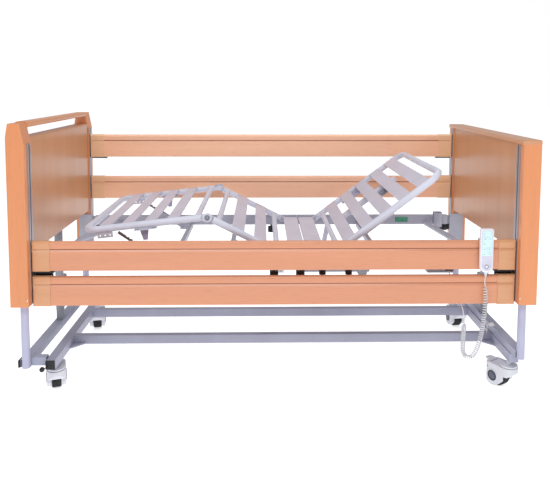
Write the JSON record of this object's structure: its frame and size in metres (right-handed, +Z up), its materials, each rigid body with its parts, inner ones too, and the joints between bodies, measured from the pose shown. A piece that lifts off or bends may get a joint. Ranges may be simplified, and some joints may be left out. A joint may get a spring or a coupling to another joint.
{
  "type": "adjustable hospital bed",
  "caption": "Height-adjustable nursing bed with wooden end boards, sliding side rails, hinged slatted lying surface, castored steel base and a hand control on a curly cord.",
  "frame": {"origin": "on the floor under the middle of the bed", "axes": "+X towards the head end, +Y towards the far long side, +Z up"},
  "size_m": [2.192, 1.03, 1.195],
  "materials": {
    "post_wood": "satin",
    "panel_wood": "satin",
    "cap_wood": "satin",
    "rail_wood": "satin",
    "rail_cap_wood": "satin",
    "base_metal": "satin",
    "section_metal": "satin",
    "slat_metal": "satin",
    "rod_metal": "polished",
    "black_plastic": "moulded",
    "castor_white": "moulded",
    "castor_wheel": "moulded",
    "motor_grey": "moulded",
    "handset_white": "moulded",
    "handset_pad": "film",
    "cord_grey": "moulded"
  },
  "bodies": {
    "base": {"base_frame": "base_metal", "lift_frames": "base_metal", "tube_end_caps": "black_plastic", "guide_columns": "base_metal", "lift_actuators": "motor_grey"},
    "deck": {"foot_posts": "post_wood", "foot_panels": "panel_wood", "foot_handle_bar": "post_wood", "head_posts": "post_wood", "head_panels": "panel_wood", "head_cap_rail": "cap_wood", "lift_rods": "rod_metal", "deck_frame_foot": "base_metal", "deck_frame_head": "base_metal", "seat_slats": "slat_metal", "deck_knobs": "black_plastic", "pole_sockets": "base_metal", "control_box": "motor_grey", "back_actuator": "motor_grey", "leg_actuator": "motor_grey", "handset_cord_leads": "cord_grey", "handset_cord_curl": "cord_grey"},
    "backrest": {"backrest_frame": "section_metal", "backrest_slats": "slat_metal"},
    "thigh": {"thigh_frame": "section_metal", "thigh_slats": "slat_metal"},
    "knee": {"knee_plates": "section_metal"},
    "calf": {"calf_frame": "section_metal", "calf_slats": "slat_metal"},
    "back_rod": {"back_actuator_rod": "rod_metal"},
    "leg_rod": {"leg_actuator_rod": "rod_metal"},
    "ratchet_hub": {"ratchet_hubs": "rod_metal"},
    "ratchet_channel": {"ratchet_channels": "base_metal"},
    "ratchet_slide": {"ratchet_slides": "rod_metal"},
    "handset": {"handset_shell": "handset_white", "handset_keypad": "handset_pad"},
    "near_top_rail": {"near_top_rail": "rail_wood", "near_top_rail_caps": "rail_cap_wood"},
    "near_bottom_rail": {"near_bottom_rail": "rail_wood", "near_bottom_rail_caps": "rail_cap_wood"},
    "far_top_rail": {"far_top_rail": "rail_wood", "far_top_rail_caps": "rail_cap_wood"},
    "far_bottom_rail": {"far_bottom_rail": "rail_wood", "far_bottom_rail_caps": "rail_cap_wood"},
    "near_foot_catch": {"near_foot_catch": "black_plastic"},
    "near_head_catch": {"near_head_catch": "black_plastic"},
    "far_foot_catch": {"far_foot_catch": "black_plastic"},
    "far_head_catch": {"far_head_catch": "black_plastic"},
    "near_foot_castor": {"castor_near_foot_housing": "castor_white"},
    "near_foot_wheel": {"castor_near_foot_wheel": "castor_wheel"},
    "near_foot_pedal": {"castor_near_foot_pedal": "castor_white"},
    "far_foot_castor": {"castor_far_foot_housing": "castor_white"},
    "far_foot_wheel": {"castor_far_foot_wheel": "castor_wheel"},
    "far_foot_pedal": {"castor_far_foot_pedal": "castor_white"},
    "near_head_castor": {"castor_near_head_housing": "castor_white"},
    "near_head_wheel": {"castor_near_head_wheel": "castor_wheel"},
    "near_head_pedal": {"castor_near_head_pedal": "castor_white"},
    "far_head_castor": {"castor_far_head_housing": "castor_white"},
    "far_head_wheel": {"castor_far_head_wheel": "castor_wheel"},
    "far_head_pedal": {"castor_far_head_pedal": "castor_white"}
  },
  "joints": [
    {"name": "height_lift", "type": "slide", "parent": "base", "child": "deck", "axis": [0, 0, 1], "range_m": [-0.18, 0.19]},
    {"name": "backrest_raise", "type": "hinge", "parent": "deck", "child": "backrest", "pos_m": [0.235, 0, 0.605], "axis": [0, -1, 0], "range_deg": [-37, 33]},
    {"name": "back_rod_push", "type": "slide", "parent": "deck", "child": "back_rod", "axis": [1, 0, 0], "range_m": [-0.0912, 0.0815]},
    {"name": "thigh_raise", "type": "hinge", "parent": "deck", "child": "thigh", "pos_m": [0.055, 0, 0.605], "axis": [0, 1, 0], "range_deg": [-26.8, 8.2]},
    {"name": "leg_rod_push", "type": "slide", "parent": "deck", "child": "leg_rod", "axis": [-1, 0, 0], "range_m": [-0.062, 0.019]},
    {"name": "knee_fold", "type": "hinge", "parent": "thigh", "child": "knee", "pos_m": [-0.29222, 0, 0.78039], "axis": [0, -1, 0], "range_deg": [-33.3, 10.3]},
    {"name": "calf_ratchet", "type": "hinge", "parent": "knee", "child": "calf", "pos_m": [-0.29222, 0, 0.78039], "axis": [0, 1, 0], "range_deg": [0, 15]},
    {"name": "ratchet_swing", "type": "hinge", "parent": "deck", "child": "ratchet_hub", "pos_m": [-0.49, 0, 0.575], "axis": [0, 1, 0], "range_deg": [-31.7, 9.8]},
    {"name": "ratchet_tilt", "type": "hinge", "parent": "ratchet_hub", "child": "ratchet_channel", "pos_m": [-0.49, 0, 0.575], "axis": [0, 1, 0], "range_deg": [0, 16]},
    {"name": "ratchet_extend", "type": "slide", "parent": "ratchet_channel", "child": "ratchet_slide", "axis": [-0.8348, 0, 0.5505], "range_m": [0, 0.0745]},
    {"name": "near_rail_lift", "type": "slide", "parent": "deck", "child": "near_top_rail", "axis": [0, 0, 1], "range_m": [0, 0.371]},
    {"name": "near_lower_rail_follow", "type": "slide", "parent": "deck", "child": "near_bottom_rail", "axis": [0, 0, 1], "range_m": [0, 0.2862]},
    {"name": "far_rail_lift", "type": "slide", "parent": "deck", "child": "far_top_rail", "axis": [0, 0, 1], "range_m": [-0.371, 0]},
    {"name": "far_lower_rail_follow", "type": "slide", "parent": "deck", "child": "far_bottom_rail", "axis": [0, 0, 1], "range_m": [-0.2862, 0]},
    {"name": "near_foot_catch_slide", "type": "slide", "parent": "near_top_rail", "child": "near_foot_catch", "axis": [1, 0, 0], "range_m": [0, 0.012], "stiffness_N_per_m": 300},
    {"name": "near_head_catch_slide", "type": "slide", "parent": "near_top_rail", "child": "near_head_catch", "axis": [-1, 0, 0], "range_m": [0, 0.012], "stiffness_N_per_m": 300},
    {"name": "far_foot_catch_slide", "type": "slide", "parent": "far_top_rail", "child": "far_foot_catch", "axis": [1, 0, 0], "range_m": [0, 0.012], "stiffness_N_per_m": 300},
    {"name": "far_head_catch_slide", "type": "slide", "parent": "far_top_rail", "child": "far_head_catch", "axis": [-1, 0, 0], "range_m": [0, 0.012], "stiffness_N_per_m": 300},
    {"name": "near_foot_swivel", "type": "hinge", "parent": "base", "child": "near_foot_castor", "pos_m": [-0.96, -0.376, 0.13], "axis": [0, 0, 1], "continuous": true},
    {"name": "near_foot_roll", "type": "hinge", "parent": "near_foot_castor", "child": "near_foot_wheel", "pos_m": [-0.977, -0.32369, 0.05], "axis": [-0.9511, -0.309, 0], "continuous": true},
    {"name": "near_foot_brake", "type": "hinge", "parent": "near_foot_castor", "child": "near_foot_pedal", "pos_m": [-0.98719, -0.29231, 0.097], "axis": [-0.9511, -0.309, 0], "range_deg": [0, 9], "stiffness_Nm_per_rad": 2},
    {"name": "far_foot_swivel", "type": "hinge", "parent": "base", "child": "far_foot_castor", "pos_m": [-0.96, 0.312, 0.13], "axis": [0, 0, 1], "continuous": true},
    {"name": "far_foot_roll", "type": "hinge", "parent": "far_foot_castor", "child": "far_foot_wheel", "pos_m": [-0.97144, 0.3658, 0.05], "axis": [-0.9781, -0.2079, 0], "continuous": true},
    {"name": "far_foot_brake", "type": "hinge", "parent": "far_foot_castor", "child": "far_foot_pedal", "pos_m": [-0.9783, 0.39808, 0.097], "axis": [-0.9781, -0.2079, 0], "range_deg": [0, 9], "stiffness_Nm_per_rad": 2},
    {"name": "near_head_swivel", "type": "hinge", "parent": "base", "child": "near_head_castor", "pos_m": [1.04, -0.382, 0.13], "axis": [0, 0, 1], "continuous": true},
    {"name": "near_head_roll", "type": "hinge", "parent": "near_head_castor", "child": "near_head_wheel", "pos_m": [1.0125, -0.33437, 0.05], "axis": [-0.866, -0.5, 0], "continuous": true},
    {"name": "near_head_brake", "type": "hinge", "parent": "near_head_castor", "child": "near_head_pedal", "pos_m": [0.996, -0.30579, 0.097], "axis": [-0.866, -0.5, 0], "range_deg": [0, 9], "stiffness_Nm_per_rad": 2},
    {"name": "far_head_swivel", "type": "hinge", "parent": "base", "child": "far_head_castor", "pos_m": [1.036, 0.312, 0.13], "axis": [0, 0, 1], "continuous": true},
    {"name": "far_head_roll", "type": "hinge", "parent": "far_head_castor", "child": "far_head_wheel", "pos_m": [1.03025, 0.3667, 0.05], "axis": [-0.9945, -0.1045, 0], "continuous": true},
    {"name": "far_head_brake", "type": "hinge", "parent": "far_head_castor", "child": "far_head_pedal", "pos_m": [1.0268, 0.39952, 0.097], "axis": [-0.9945, -0.1045, 0], "range_deg": [0, 9], "stiffness_Nm_per_rad": 2},
    {"name": "handset_lift_off", "type": "slide", "parent": "near_top_rail", "child": "handset", "axis": [0, 0, 1], "range_m": [0, 0.06]}
  ],
  "couplings": [
    {"joint": "back_rod_push", "follows": "backrest_raise", "m_per_rad": 0.1408},
    {"joint": "leg_rod_push", "follows": "thigh_raise", "m_per_rad": 0.1288},
    {"joint": "knee_fold", "follows": "thigh_raise", "ratio": 1.239},
    {"joint": "ratchet_swing", "follows": "thigh_raise", "ratio": 1.18},
    {"joint": "ratchet_tilt", "follows": "calf_ratchet", "ratio": 1.06},
    {"joint": "ratchet_extend", "follows": "calf_ratchet", "m_per_rad": 0.284},
    {"joint": "near_lower_rail_follow", "follows": "near_rail_lift", "ratio": 0.771},
    {"joint": "far_lower_rail_follow", "follows": "far_rail_lift", "ratio": 0.771}
  ]
}
